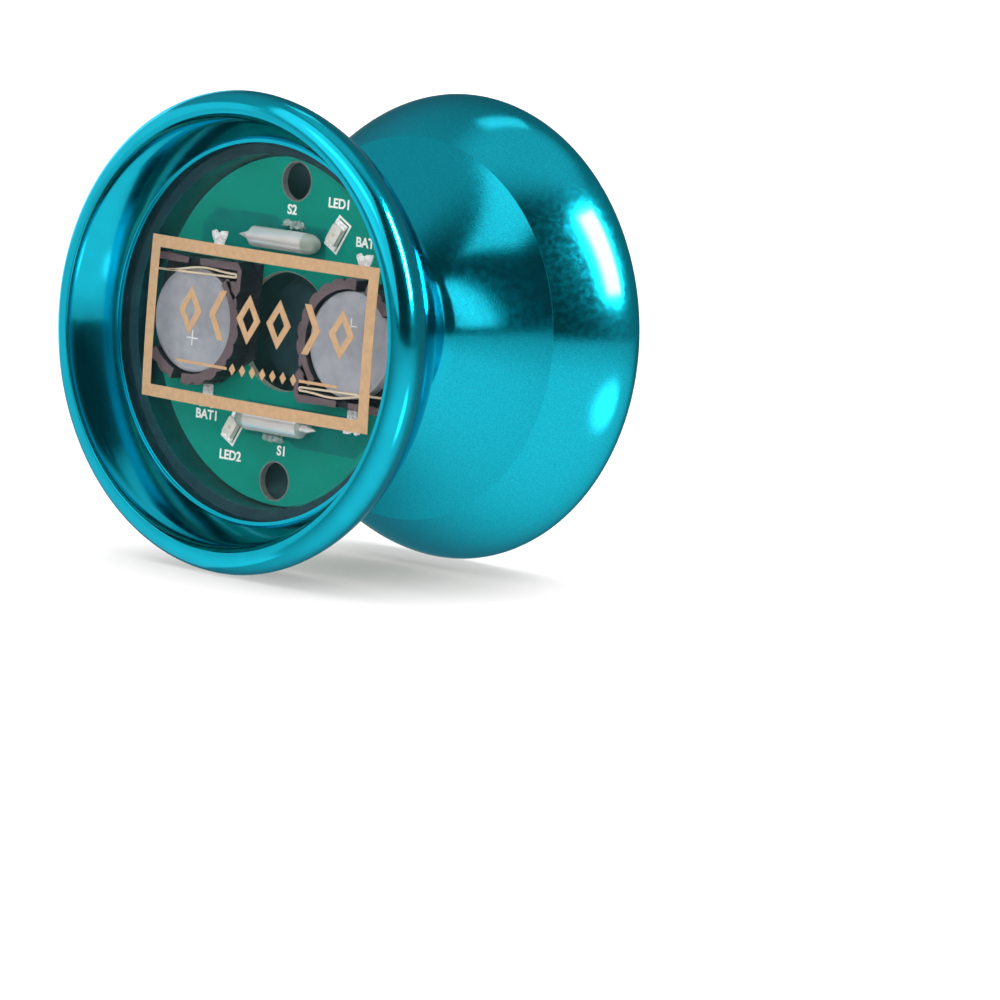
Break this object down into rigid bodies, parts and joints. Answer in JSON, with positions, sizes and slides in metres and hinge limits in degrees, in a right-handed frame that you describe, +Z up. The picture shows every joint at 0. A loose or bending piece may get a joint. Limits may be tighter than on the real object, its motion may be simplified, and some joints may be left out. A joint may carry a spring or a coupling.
{
  "type": "yo-yo",
  "caption": "Flared metal yo-yo with a lamp and coin-cell circuit board behind a clear cap on each face, and its string wound on a ball bearing between the halves",
  "frame": {"origin": "on the spin axis, midway between the two halves, which is the centre of the whole box", "axes": "+X runs along the spin axis from the front half to the rear half, +Z is up as it stands on its two rims, with the printed frames level"},
  "size_m": [0.043, 0.056, 0.056],
  "materials": {
    "anodised_metal": "fine bead-blasted turquoise anodising with a satin gloss",
    "clear_cap": "clear polished polycarbonate with a printed gold frame",
    "circuit_board": "green solder mask with white legend and tinned pads",
    "cell_holder": "brown-grey moulded plastic",
    "coin_cell": "satin nickel-plated steel",
    "gold_contact": "gold-plated spring strip",
    "switch_can": "bright tinned steel can",
    "led_body": "white lamp body with a clear lens",
    "bearing_steel": "ground and polished bearing steel",
    "bearing_cage": "pressed brass",
    "response_pad": "matt silicone",
    "axle_steel": "black-oxide steel",
    "string": "twisted polyester yarn, yellow-green"
  },
  "bodies": {
    "front_half": {"front_half_body": "anodised_metal", "front_response_pad": "response_pad", "front_circuit_board": "circuit_board", "front_coin_cell_1": "coin_cell", "front_cell_holder_1": "cell_holder", "front_cell_contact_1": "gold_contact", "front_motion_switch_1": "switch_can", "front_led_1": "led_body", "front_coin_cell_2": "coin_cell", "front_cell_holder_2": "cell_holder", "front_cell_contact_2": "gold_contact", "front_motion_switch_2": "switch_can", "front_led_2": "led_body", "axle_screw": "axle_steel", "bearing_inner_race": "bearing_steel"},
    "front_cap": {"front_clear_cap": "clear_cap"},
    "rear_half": {"rear_half_body": "anodised_metal", "rear_response_pad": "response_pad", "rear_circuit_board": "circuit_board", "rear_coin_cell_1": "coin_cell", "rear_cell_holder_1": "cell_holder", "rear_cell_contact_1": "gold_contact", "rear_motion_switch_1": "switch_can", "rear_led_1": "led_body", "rear_coin_cell_2": "coin_cell", "rear_cell_holder_2": "cell_holder", "rear_cell_contact_2": "gold_contact", "rear_motion_switch_2": "switch_can", "rear_led_2": "led_body"},
    "rear_cap": {"rear_clear_cap": "clear_cap"},
    "string_bearing": {"bearing_outer_race": "bearing_steel", "bearing_shield_front": "bearing_steel", "bearing_shield_rear": "bearing_steel", "string_winding": "string"},
    "ball_set": {"bearing_cage": "bearing_cage", "bearing_ball_1": "bearing_steel", "bearing_ball_2": "bearing_steel", "bearing_ball_3": "bearing_steel", "bearing_ball_4": "bearing_steel", "bearing_ball_5": "bearing_steel", "bearing_ball_6": "bearing_steel", "bearing_ball_7": "bearing_steel", "bearing_ball_8": "bearing_steel"}
  },
  "joints": [
    {"name": "string_bearing_spin", "type": "hinge", "parent": "front_half", "child": "string_bearing", "pos_m": [0, 0, 0], "axis": [1, 0, 0], "continuous": true},
    {"name": "ball_set_spin", "type": "hinge", "parent": "front_half", "child": "ball_set", "pos_m": [0, 0, 0], "axis": [1, 0, 0], "continuous": true},
    {"name": "rear_half_release", "type": "slide", "parent": "front_half", "child": "rear_half", "axis": [1, 0, 0], "range_m": [0, 0.02]},
    {"name": "front_cap_release", "type": "slide", "parent": "front_half", "child": "front_cap", "axis": [-1, 0, 0], "range_m": [0, 0.015]},
    {"name": "rear_cap_release", "type": "slide", "parent": "rear_half", "child": "rear_cap", "axis": [1, 0, 0], "range_m": [0, 0.015]}
  ],
  "couplings": [
    {"joint": "ball_set_spin", "follows": "string_bearing_spin", "ratio": 0.5834}
  ]
}
